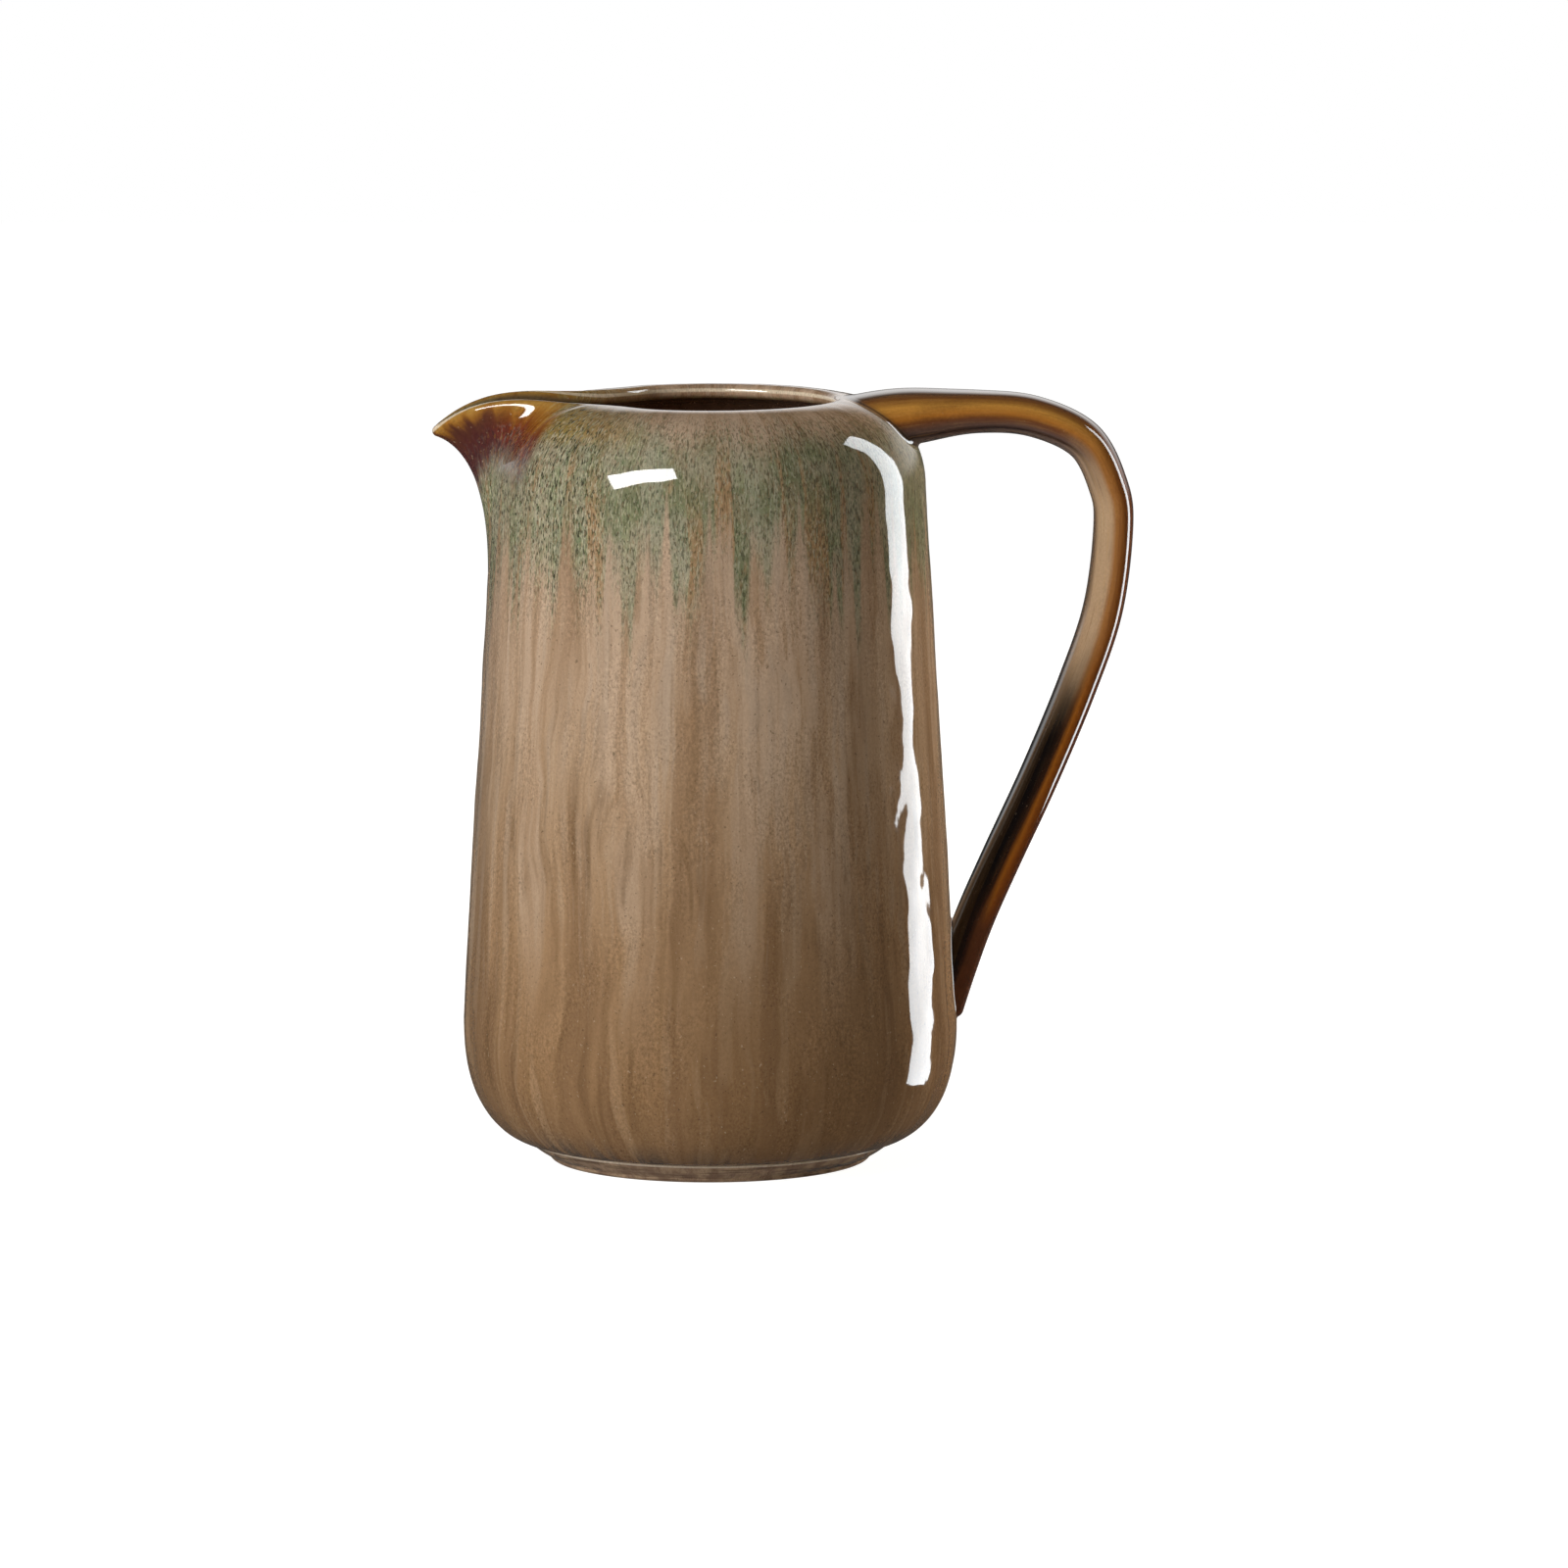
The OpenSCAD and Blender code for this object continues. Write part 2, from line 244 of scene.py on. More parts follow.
def drawn(angle, share):
    # Upper wall: the shoulder's profile moved towards the lip's by the lip share, less the pinch
    # beside the lip. The flanks sag by their full size two thirds of the way up and midway between the
    # profiles, where the terms with 4 and 27 / 4 reach 1
    lip = lipShare(angle, share)
    away = np.degrees(np.abs(angle))
    pinch = jug["pinchDepth"] / (jug["lipReach"] - jug["mouthRadius"])
    moved = lip - pinch * np.exp(-((away - jug["pinchAngle"]) / jug["pinchSpread"]) ** 2)
    drop = np.clip(moved, 0, None)
    plainRadius, plainHeight = shoulderProfile(share)
    lipRadius, lipHeight = lipProfile(share)
    sag = jug["flankSag"] * 4 * drop * (1 - drop) * 27 / 4 * share ** 2 * (1 - share)
    return turned(angle, plainRadius + (lipRadius - plainRadius) * moved,
                  plainHeight + (lipHeight - plainHeight) * drop ** jug["dropPower"] - sag)


def drawnFrame(angle, share):
    # Outward normal of the upper wall and its direction up, from wide and short differences
    wide, step = radians(jug["normalAngle"]), 0.01
    across = drawn(angle + wide, share) - drawn(angle - wide, share)
    up = drawn(angle, np.minimum(share + step, 1)) - drawn(angle, np.maximum(share - step, 0))
    return unit(np.cross(across, up)), unit(up)


def bodyRings():
    # Rows of points from the middle of the underside up the outside, over the rim and down to the
    # middle of the floor. Returns them, their angles and the number of the row on the rim
    turn = np.arange(jug["columns"]) / jug["columns"] * 2 * pi - pi
    angle = (turn - jug["crowding"] * np.sin(turn))[None, :]
    count = jug["rings"]

    def shares(number, first=1):
        return (np.arange(first, number + 1) / number)[:, None]

    edgeWall = jug["rimWall"] + (jug["lipWall"] - jug["rimWall"]) * lipShare(angle)
    share = shares(count["under"])
    rows = [turned(angle, jug["footRadius"] * share, jug["footHeight"])]
    rows.append(turned(angle, *cornerProfile(shares(count["corner"]))))
    height = jug["bellyHeight"] + (lipBase - jug["bellyHeight"]) * shares(count["wall"])
    rows.append(turned(angle, wallRadius(height), height))
    rows.append(drawn(angle, shares(count["drawn"])))
    atRim = np.ones((1, 1))
    normal, up = drawnFrame(angle, atRim)
    half = edgeWall[..., None] / 2
    bend = (shares(count["edge"])[:-1] * pi)[..., None]
    rows.append(drawn(angle, atRim) + half * (normal * (np.cos(bend) - 1) + up * np.sin(bend)))
    top = sum(len(row) for row in rows) - (count["edge"] + 1) // 2
    share = 1 - shares(count["innerDrawn"], 0)
    normal, up = drawnFrame(angle, share)
    thickness = jug["wall"] + (edgeWall - jug["wall"]) * share
    rows.append(drawn(angle, share) - normal * thickness[..., None])
    cornerTop = floorTop + jug["innerCorner"]
    height = lipBase + (cornerTop - lipBase) * shares(count["innerWall"])
    rows.append(turned(angle, wallRadius(height) - jug["wall"], height))
    bend = shares(count["innerCorner"]) * pi / 2
    inner = wallRadius(cornerTop) - jug["wall"]
    rows.append(turned(angle, inner - jug["innerCorner"] * (1 - np.cos(bend)),
                       floorTop + jug["innerCorner"] * (1 - np.sin(bend))))
    share = 1 - shares(count["floor"] + 1)[:-1]
    rows.append(turned(angle, (inner - jug["innerCorner"]) * share, floorTop))
    return np.vstack([np.broadcast_to(row, (len(row), jug["columns"], 3)) for row in rows]), angle, top


def buildBody():
    # Body with an uneven outside, calmer on the shoulder, and with throwing lines inside
    rings, angle, top = bodyRings()
    height = rings[..., 2]
    path = lengthAlong(rings)
    path = path[top] - path                         # length down from the rim, negative inside
    isUnder = np.arange(len(rings))[:, None] < jug["rings"]["under"]
    clear = smoothStep(np.abs(np.abs(angle) - pi), *(radians(side) for side in jug["handleClear"]))
    fade = smoothStep(path, *jug["rimFade"]) * smoothStep(height - jug["footHeight"], *jug["footFade"])
    size, *wave = jug["wobble"]
    wobble = size * clear * waveSum(*wave, angle, height)
    ripples = sum(size * waveSum(*wave, angle, height) for size, *wave in jug["ripples"])
    ripples = ripples * (jug["calm"] + (1 - jug["calm"]) * smoothStep(path, *jug["calmEnd"]))
    offset = np.where(~isUnder & (path > 0), fade * (wobble + ripples), 0)
    groove = (jug["throwing"] * np.sin(2 * pi * height / jug["throwingPitch"] + angle)
              * smoothStep(-path, *jug["throwingFade"]))
    offset = offset + np.where((path < 0) & (height > floorTop + jug["innerCorner"]), groove, 0)
    rings = rings + gridNormals(rings) * offset[..., None]
    flow = flowAt(angle, path)
    under = np.broadcast_to(isUnder * 1.0, path.shape)
    below = rings[top][None, :, 2] - height        # how far under the rim of its own column a place is
    lip = np.stack([-rings[..., 0], below, np.broadcast_to(lipShare(angle), path.shape)], -1)
    return buildMesh("jugBody", rings, dict(flow=flow, lip=lip, under=under))


# Foot ring

foot = dict(wall=10, standRadius=44, rounding=1.2, leanPower=1.5, bead=0.28, beadDrop=0.5, beadWidth=0.3,
            columns=240, bendRows=9, faceRows=24, flatRows=3)


def buildFoot():
    # Turned ring: its outside leans in from a bead of glaze at the seam to a rounded edge
    top, outer, stand, rounding = footHigh[2], footHigh[0], foot["standRadius"], foot["rounding"]
    inner = outer - foot["wall"]
    bend = np.linspace(0, pi / 2, foot["bendRows"])
    drop = np.linspace(0, 1, foot["faceRows"]) * (top - rounding)
    face = outer - (outer - stand) * (drop / (top - rounding)) ** foot["leanPower"]
    face += foot["bead"] * np.exp(-((drop - foot["beadDrop"]) / foot["beadWidth"]) ** 2)
    flat = np.linspace(stand - rounding, inner + rounding, foot["flatRows"] + 2)[1:-1]
    radius = np.concatenate([[inner, (inner + outer) / 2], face, stand - rounding * (1 - np.cos(bend[1:])),
                             flat, inner + rounding * (1 - np.sin(bend))])
    height = np.concatenate([[top, top], top - drop, rounding * (1 - np.sin(bend[1:])), 0 * flat,
                             rounding * (1 - np.cos(bend))])
    angle = (np.arange(foot["columns"]) / foot["columns"] * 2 * pi)[None, :]
    rings = turned(angle, radius[:, None], height[:, None])
    return buildMesh("footRing", rings, dict(flow=flowAt(angle, height[:, None])), ends=False)


# Handle: a strap carried along a smooth line, and ended inside the wall at both of its ends

strap = dict(
    thickness=10.8, width=21, rootWidth=31, tailWidth=17, crest=2, bowHeight=173.5, tailHeight=38,
    sectionPower=2.7, rootSwell=0.42, rootSwellAt=0.6, rootSwellSpans=0.88, rootSpreadSpans=1.9,
    tailStart=7, tailRoundAt=12.6, tailRoundSpans=0.18, tailRoundSide=0.3, tailRoundDepth=3.4,
    upperShares=[(-0.456, 0.873), (-0.04, 0.95), (0.29, 0.985), (0.58, 0.94), (0.844, 0.735), (0.97, 0.355),
                 (1, 0)],
    lowerShares=[(0.945, 0.834), (0.794, 0.675), (0.569, 0.494), (0.322, 0.325), (0.148, 0.207),
                 (0.005, 0.096), (-0.129, -0.015)],
    sides=96, rings=215, tailRings=39, tailRingShare=0.04, capRings=4, capDepth=1.6,
    rootSpans=3, tailSpans=5, samples=260, step=0.01, glazeRadius=9)


def strapKnots():
    # Points of the strap's middle line, as shares of the way out and up, with one more past each end
    reach = handleHigh[0] - strap["thickness"] / 2
    gripHeight = jug["rimHeight"] + strap["crest"] - strap["thickness"] / 2
    bow, tail = strap["bowHeight"], strap["tailHeight"]
    upper, lower = np.array(strap["upperShares"]), np.array(strap["lowerShares"])
    share = np.concatenate([upper[:, 0], lower[:, 0]])
    height = np.concatenate([bow + (gripHeight - bow) * upper[:, 1], tail + (bow - tail) * lower[:, 1]])
    wall = np.where(height < shoulderBase, wallRadius(height), jug["shoulderRadius"])
    line = np.stack([wall + (reach - wall) * share, height], -1)
    return np.vstack([2 * line[0] - line[1], line, 2 * line[-1] - line[-2]])


knots = strapKnots()
strapSpans = len(knots) - 3


def strapMiddle(u):
    # Smooth curve through the knots: a cubic in each span that leaves each knot along its neighbours
    span = np.clip(np.floor(u), 0, strapSpans - 1).astype(int)
    t = (u - span)[..., None]
    a, b, c, d = (knots[span + k] for k in range(4))
    return (2 * b + (c - a) * t + (2 * a - 5 * b + 4 * c - d) * t ** 2
            + (3 * b - a - 3 * c + d) * t ** 3) / 2


def strapSkin(u, side):
    # Point of the strap's skin: a rounded section of the thickness and width at u, at an angle from
    # the outer face, across the middle line. The outer face rounds off at the tail
    u, side = np.broadcast_arrays(u, side)
    middle, step = strapMiddle(u), strap["step"]
    way = unit(strapMiddle(np.minimum(u + step, strapSpans)) - strapMiddle(np.maximum(u - step, 0)))
    swell = strap["rootSwell"] * np.exp(-((u - strap["rootSwellAt"]) / strap["rootSwellSpans"]) ** 2)
    thickness = strap["thickness"] * (1 + swell)
    narrowing = np.clip(u - strap["tailStart"], 0, None) / (strapSpans - strap["tailStart"])
    spread = np.exp(-(u / strap["rootSpreadSpans"]) ** 2)
    width = (strap["width"] + (strap["rootWidth"] - strap["width"]) * spread
             + (strap["tailWidth"] - strap["width"]) * narrowing ** 2)
    power = 2 / strap["sectionPower"]
    out = thickness / 2 * signedPower(np.cos(side), power)
    past = u - strap["tailRoundAt"] + strap["tailRoundSide"] * np.sin(side) ** 4
    turn = np.clip(past / strap["tailRoundSpans"], 0, 1)
    out = np.where(out > 0, out - strap["tailRoundDepth"] * (1 - np.sqrt(1 - turn ** 2)), out)
    across = width / 2 * signedPower(np.sin(side), power)
    return np.stack([middle[..., 0] - way[..., 1] * out, -across, middle[..., 1] + way[..., 0] * out], -1)


def plainProfile(number):
    # The body's outside away from the lip: radius, height, path up from the foot and normal
    share = np.linspace(0, 1, number)
    height = jug["bellyHeight"] + (lipBase - jug["bellyHeight"]) * share
    line = np.vstack([np.stack(cornerProfile(share), -1), np.stack([wallRadius(height), height], -1)[1:],
                      np.stack(shoulderProfile(share), -1)[1:]])
    path = lengthAlong(line)
    even = np.linspace(0, path[-1], 3 * number)
    line = np.stack([np.interp(even, path, line[:, k]) for k in (0, 1)], -1)
    way = np.gradient(line, axis=0)
    return line, even, unit(np.stack([way[:, 1], -way[:, 0]], -1))


profileLine, profilePath, profileNormal = plainProfile(number=200)


def wallField(points):
    # For each point: its depth outside the body's plain surface, the length of the path from the rim
    # down to the nearest place on it, and the surface's normal there
    flat = points.reshape(-1, 3)
    radius = np.hypot(flat[:, 0], flat[:, 1])
    spot = np.stack([radius, flat[:, 2]], -1)
    away = ((spot[:, None, :] - profileLine[None, :, :]) ** 2).sum(-1)
    near = away.argmin(1)
    normal = profileNormal[near]
    depth = ((spot - profileLine[near]) * normal).sum(-1)
    radial = flat[:, :2] / np.maximum(radius, 1e-6)[:, None]
    normal = np.concatenate([radial * normal[:, :1], normal[:, 1:]], -1)
    rimHalf = jug["rimWall"] * pi / 4
    path = rimHalf + profilePath[-1] - profilePath[near]
    shape = points.shape[:-1]
    return depth.reshape(shape), path.reshape(shape), normal.reshape(points.shape)


def settleOn(points, depth):
    # Moves points along the body's normal until they lie at a depth outside its surface
    for _ in range(2):
        current, _, normal = wallField(points)
        points = points + normal * (depth - current)[..., None]
    return points


def crossing(depth, atTail):
    # Place u on each side line where it passes through the surface at a depth: the first one near the
    # root, or the last one near the tail, worked out between the samples on both sides of it
    low, high = (strapSpans - strap["tailSpans"], strapSpans) if atTail else (0, strap["rootSpans"])
    u = np.linspace(low, high, strap["samples"])
    outside, _, _ = wallField(strapSkin(u[None, :], sideAngle[:, None]))
    change = np.diff((outside > depth).astype(int), axis=1)
    if atTail:
        hit = change.shape[1] - 1 - (change[:, ::-1] < 0).argmax(1)
    else:
        hit = (change > 0).argmax(1)
    pick = np.arange(len(sideAngle))
    before, after = outside[pick, hit] - depth, outside[pick, hit + 1] - depth
    return u[hit] + (u[1] - u[0]) * before / (before - after)


sideAngle = np.arange(strap["sides"]) / strap["sides"] * 2 * pi
rootAt, tailAt = crossing(0, atTail=False), crossing(0, atTail=True)
middlePath = np.linspace(0, strapSpans, 1200)
middleLength = lengthAlong(strapMiddle(middlePath))


def strapCoordinates(u, side):
    # Coordinates for the handle's glaze: round the section on a circle and along it in mm, and how far
    # the place faces outwards, from 1 on the outer face to -1 on the inner one
    u, side = np.broadcast_arrays(u, side)
    along = np.interp(u, middlePath, middleLength)
    radius = strap["glazeRadius"]
    around = np.stack([radius * np.cos(side), radius * np.sin(side), along], -1)
    return around, signedPower(np.cos(side), 2 / strap["sectionPower"])


def buildHandle():
    # Strap from one cap under the wall to the other, with its rings closer together at the tail
    depth, tailShare = -strap["capDepth"], 1 - strap["tailRingShare"]
    start = np.minimum(crossing(depth, atTail=False), rootAt)
    end = np.maximum(crossing(depth, atTail=True), tailAt)
    share = np.concatenate([np.linspace(0, tailShare, strap["rings"]),
                            np.linspace(tailShare, 1, strap["tailRings"] + 1)[1:]])[:, None]
    u = start[None, :] + (end - start)[None, :] * share
    rings = strapSkin(u, sideAngle[None, :])
    around, outward = strapCoordinates(u, sideAngle[None, :])
    number = strap["capRings"]
    inward = (np.arange(1, number + 1) / (number + 1))[:, None, None]
    rootCap, tailCap = (settleOn(loop + (loop.mean(0) - loop) * inward, depth) for loop in rings[[0, -1]])
    rings = np.vstack([rootCap[::-1], rings, tailCap])
    copies = [number + 1] + [1] * (len(share) - 2) + [number + 1]
    around, outward = (np.repeat(rows, copies, 0) for rows in (around, outward))
    return buildMesh("strapHandle", rings, dict(around=around, outward=outward))


# Slip joints: a fillet of slip in the corner between the strap and the wall, all the way round

joints = dict(
    root=dict(legTop=4.2, legUnder=2.2, bodyTop=3.6, bodyUnder=2.4),
    tail=dict(legTop=0.7, legUnder=2.2, bodyTop=0.9, bodyUnder=2.2),
    section=12, sunk=0.12, hidden=0.7, step=0.02)


def buildJoint(name, at, direction, sizes):
    # Ring round the handle. Across it, a curve leaves the strap's skin, bends round the corner and
    # runs out on the wall, and one more point under both surfaces closes the section
    side, near, far = sideAngle, strap["step"], joints["step"]
    corner = strapSkin(at, side)
    slope = strapSkin(at + far, side) - strapSkin(at - far, side)
    speed = np.linalg.norm(slope, axis=-1) / (2 * far)
    facing = (1 + np.cos(side)) / 2
    leg = sizes["legUnder"] + (sizes["legTop"] - sizes["legUnder"]) * facing
    reach = sizes["bodyUnder"] + (sizes["bodyTop"] - sizes["bodyUnder"]) * facing
    legAt = at + direction * leg / speed
    strapEnd = strapSkin(legAt, side)
    strapNormal = unit(np.cross(
        strapSkin(legAt, side + near) - strapSkin(legAt, side - near),
        direction * (strapSkin(legAt + near, side) - strapSkin(legAt - near, side))))
    middle = np.concatenate([strapMiddle(legAt), np.zeros((len(side), 1))], 1)[:, [0, 2, 1]]
    strapNormal *= np.sign(((strapEnd - middle) * strapNormal).sum(-1, keepdims=True))
    _, _, normal = wallField(corner)
    tangent = np.roll(corner, -1, 0) - np.roll(corner, 1, 0)
    away = unit(np.cross(normal, tangent))
    away *= np.sign(((corner - corner.mean(0)) * away).sum(-1, keepdims=True))
    wallEnd = settleOn(corner + away * reach[:, None], -joints["sunk"])
    strapEnd = strapEnd - strapNormal * joints["sunk"]
    t = np.linspace(0, 1, joints["section"])[:, None, None]
    curve = (1 - t) ** 2 * strapEnd + 2 * t * (1 - t) * corner + t ** 2 * wallEnd
    hidden = corner - joints["hidden"] * normal - joints["hidden"] * strapNormal
    rings = np.vstack([curve, hidden[None]])
    _, path, _ = wallField(rings)
    flow = flowAt(np.arctan2(-rings[..., 1], -rings[..., 0]), path)
    around, outward = strapCoordinates(legAt, side)
    toWall = np.append(t, 0.5)[:, None] * np.ones(len(side))
    around = np.broadcast_to(around, rings.shape)
    outward = np.broadcast_to(outward, rings.shape[:2])
    layers = dict(flow=flow, around=around, outward=outward, toWall=toWall)
    return buildMesh(name, rings, layers, ends=False)


# Shader helpers

def colour(red, green, blue):
    # Linear colour of a screen colour given from 0 to 255
    screen = np.array([red, green, blue]) / 255
    linear = np.where(screen < 0.04045, screen / 12.92, ((screen + 0.055) / 1.055) ** 2.4)
    return (*linear, 1)


def addNode(tree, kind, inputs=None, **settings):
    # New node. An input that is given a socket is linked to it, and any other one is set
    made = tree.nodes.new("ShaderNode" + kind)
    for name, value in settings.items():
        setattr(made, name, value)
    for name, value in (inputs or {}).items():
        if isinstance(value, bpy.types.NodeSocket):
            tree.links.new(value, made.inputs[name])
        else:
            made.inputs[name].default_value = value
    return made


# The helpers below make their nodes in the tree of a socket that they are given

def calculate(operation, a, b=0.0, c=0.0):
    return addNode(a.id_data, "Math", {0: a, 1: b, 2: c}, operation=operation).outputs[0]


def times(product, *factors):
    for factor in factors:
        product = calculate("MULTIPLY", product, factor)
    return product


def swung(value, pattern, swing):
    # Value moved up and down by a pattern that lies between 0 and 1
    return calculate("MULTIPLY_ADD", calculate("SUBTRACT", pattern, 0.5), swing, value)


def between(value, low, high, toLow=0.0, toHigh=1.0):
    # Smooth step of a value between two limits, which may run either way
    limits = {"Value": value, "From Min": low, "From Max": high, "To Min": toLow, "To Max": toHigh}
    return addNode(value.id_data, "MapRange", limits, interpolation_type="SMOOTHSTEP").outputs[0]


def parts(vector):
    return addNode(vector.id_data, "SeparateXYZ", {0: vector}).outputs


def vectorMath(operation, a, b=(0, 0, 0)):
    made = addNode(a.id_data, "VectorMath", {0: a, 1: b}, operation=operation)
    return made.outputs["Value" if operation in ("DISTANCE", "LENGTH") else "Vector"]


def mixed(amount, a, b):
    return addNode(amount.id_data, "Mix", {0: amount, 6: a, 7: b}, data_type="RGBA").outputs[2]


def painted(ground, mask, amount, shade):
    # Ground with a screen colour laid over it by an amount, where the mask shows it
    return mixed(times(mask, amount), ground, colour(*shade))


def colourRamp(place, stops):
    # Stops are a position and a screen colour each
    made = addNode(place.id_data, "ValToRGB", {0: place})
    points = made.color_ramp.elements
    while len(points) < len(stops):
        points.new(0.5)
    for point, (position, shade) in zip(points, stops):
        point.position = position
        point.color = colour(*shade)
    return made.outputs[0]


def stretched(vector, width, length, seed=0.0):
    # Vector for a pattern that is so wide across the flow and so long down it, in mm
    scaled = vectorMath("MULTIPLY", vector, (1 / width, 1 / width, 1 / length))
    return vectorMath("ADD", scaled, (seed, seed * 1.7, seed * 0.6))


def noiseAt(vector, detail, roughness, distortion):
    inputs = {"Vector": vector, "Scale": 1.0, "Detail": detail, "Roughness": roughness,
              "Distortion": distortion}
    return addNode(vector.id_data, "TexNoise", inputs).outputs["Fac"]


def noise(vector, width, length, seed=0.0, detail=2.0, roughness=0.5, distortion=0.0):
    return noiseAt(stretched(vector, width, length, seed), detail, roughness, distortion)


socketKinds = dict(Color="Color", Flow="Vector", Lip="Vector", Around="Vector")


def newGroup(name, inputs, output):
    # Node group. Returns its tree, the sockets that it is given and the one for its result
    tree = bpy.data.node_groups.new(name, "ShaderNodeTree")
    for label, way in [(label, "INPUT") for label in inputs] + [(output, "OUTPUT")]:
        kind = "NodeSocket" + socketKinds.get(label, "Float")
        tree.interface.new_socket(label, in_out=way, socket_type=kind)
    given = tree.nodes.new("NodeGroupInput").outputs
    return tree, given, tree.nodes.new("NodeGroupOutput").inputs[output]


def useGroup(tree, group, inputs):
    return addNode(tree, "Group", inputs, node_tree=group).outputs[0]


# Shared effects of the glaze

def grainGroup():
    # Fine grain, stronger in patches, and dark and pale specks where a noise comes near its top
    tree, given, result = newGroup("glazeGrain", ("Color", "Flow", "Grain", "Specks"), "Color")
    flow = given["Flow"]
    grain = noise(flow, 0.6, 0.9, 4.0, roughness=0.7)
    patchy = between(noise(flow, 9, 22, 14.0), 0.38, 0.62, 0.45, 1.3)
    swing = times(calculate("SUBTRACT", grain, 0.5), given["Grain"])
    light = calculate("MULTIPLY_ADD", swing, patchy, 1.0)
    shaded = vectorMath("MULTIPLY", given["Color"], light)
    for seed, low, high, shade in ((9.0, 0.69, 0.75, (58, 46, 36)), (19.0, 0.7, 0.78, (172, 152, 126))):
        speck = between(noise(flow, 0.75, 1.0, seed, detail=1), low, high)
        shaded = painted(shaded, speck, given["Specks"], shade)
    tree.links.new(shaded, result)
    return tree


def dashGroup():
    # Short streaks, where a noise stretched along the flow passes a threshold
    tree, given, result = newGroup("glazeDashes", ("Flow", "Seed", "Threshold"), "Mask")
    shift = addNode(tree, "CombineXYZ", {axis: given["Seed"] for axis in range(3)}).outputs[0]
    moved = vectorMath("ADD", stretched(given["Flow"], 0.5, 1.8), shift)
    streak = noiseAt(moved, 1.5, 0.55, 0.3)
    high = calculate("ADD", given["Threshold"], 0.06)
    tree.links.new(between(streak, given["Threshold"], high), result)
    return tree


def surfaceGroup():
    # Height of the glaze in mm: slow runs down the wall, and a fine unevenness
    tree, given, result = newGroup("glazeSurface", ("Flow", "Runs", "Fine"), "Height")
    runs = noise(given["Flow"], 6.5, 17, 2.0, roughness=0.45)
    fine = noise(given["Flow"], 1.6, 2.4, 7.0)
    height = calculate("MULTIPLY_ADD", fine, given["Fine"], times(runs, given["Runs"]))
    tree.links.new(height, result)
    return tree


grain = grainGroup()
dashes = dashGroup()
surface = surfaceGroup()


def grained(glaze, flow, amount, specks):
    inputs = {"Color": glaze, "Flow": flow, "Grain": amount, "Specks": specks}
    return useGroup(flow.id_data, grain, inputs)


def dashed(glaze, flow, where, kinds):
    # Each kind of dash has a seed, a threshold, an amount and a screen colour
    for seed, threshold, amount, shade in kinds:
        mask = useGroup(flow.id_data, dashes, {"Flow": flow, "Seed": seed, "Threshold": threshold})
        glaze = painted(glaze, times(mask, where), amount, shade)
    return glaze


# Body's glaze and painted light. Lengths in mm down from the rim: the ground's ramp, the band's start and
# end, and how much its border drips and blurs, the lip colours' reach from the axis and depth, and the ramp
# inside.
# Then the ramps' stops and the dashes. The lip's ramp holds a painted reflection, and the inside's ramp
# painted shade
glazeAndPaintedLight = dict(
    groundEnd=220.0, bandStart=(15.0, 28.0), bandEnd=57.0, bandDrips=96.0, bandBlur=9.0,
    lipReach=(36.5, 44.0), lipDepth=24.0, insideEnd=36.0,
    ground=[(0.0, (164, 137, 112)), (0.28, (166, 140, 116)), (0.5, (160, 133, 106)), (0.72, (145, 115, 85)),
            (0.9, (131, 101, 71)), (0.965, (124, 96, 68)), (1.0, (98, 82, 68))],
    bandDashes=[(11.0, 0.53, 0.95, (54, 52, 40)), (23.0, 0.58, 0.5, (86, 104, 70)),
                (31.0, 0.55, 0.62, (172, 164, 138)), (47.0, 0.6, 0.5, (128, 92, 66)),
                (53.0, 0.6, 0.4, (152, 150, 108))],
    # The lip ramp's mauve stop at 0.55 is a painted reflection under the lip
    lip=[(0.0, (156, 116, 54)), (0.1, (138, 90, 34)), (0.22, (114, 64, 24)), (0.31, (100, 44, 25)),
         (0.44, (92, 46, 38)), (0.55, (96, 78, 71)), (0.72, (112, 104, 94)), (1.0, (128, 122, 106))],
    lipDashes=[(61.0, 0.54, 0.45, (126, 56, 34)), (73.0, 0.57, 0.5, (152, 108, 46)),
               (83.0, 0.53, 0.7, (50, 38, 36)), (89.0, 0.58, 0.3, (144, 136, 122))],
    # The inside ramp's dark stops at 0.18 and 0.25 are a dark glaze with painted shade
    inside=[(0.0, (98, 81, 56)), (0.12, (88, 71, 48)), (0.18, (72, 55, 37)), (0.25, (60, 44, 32)),
            (0.5, (92, 72, 58)), (1.0, (112, 88, 72))])


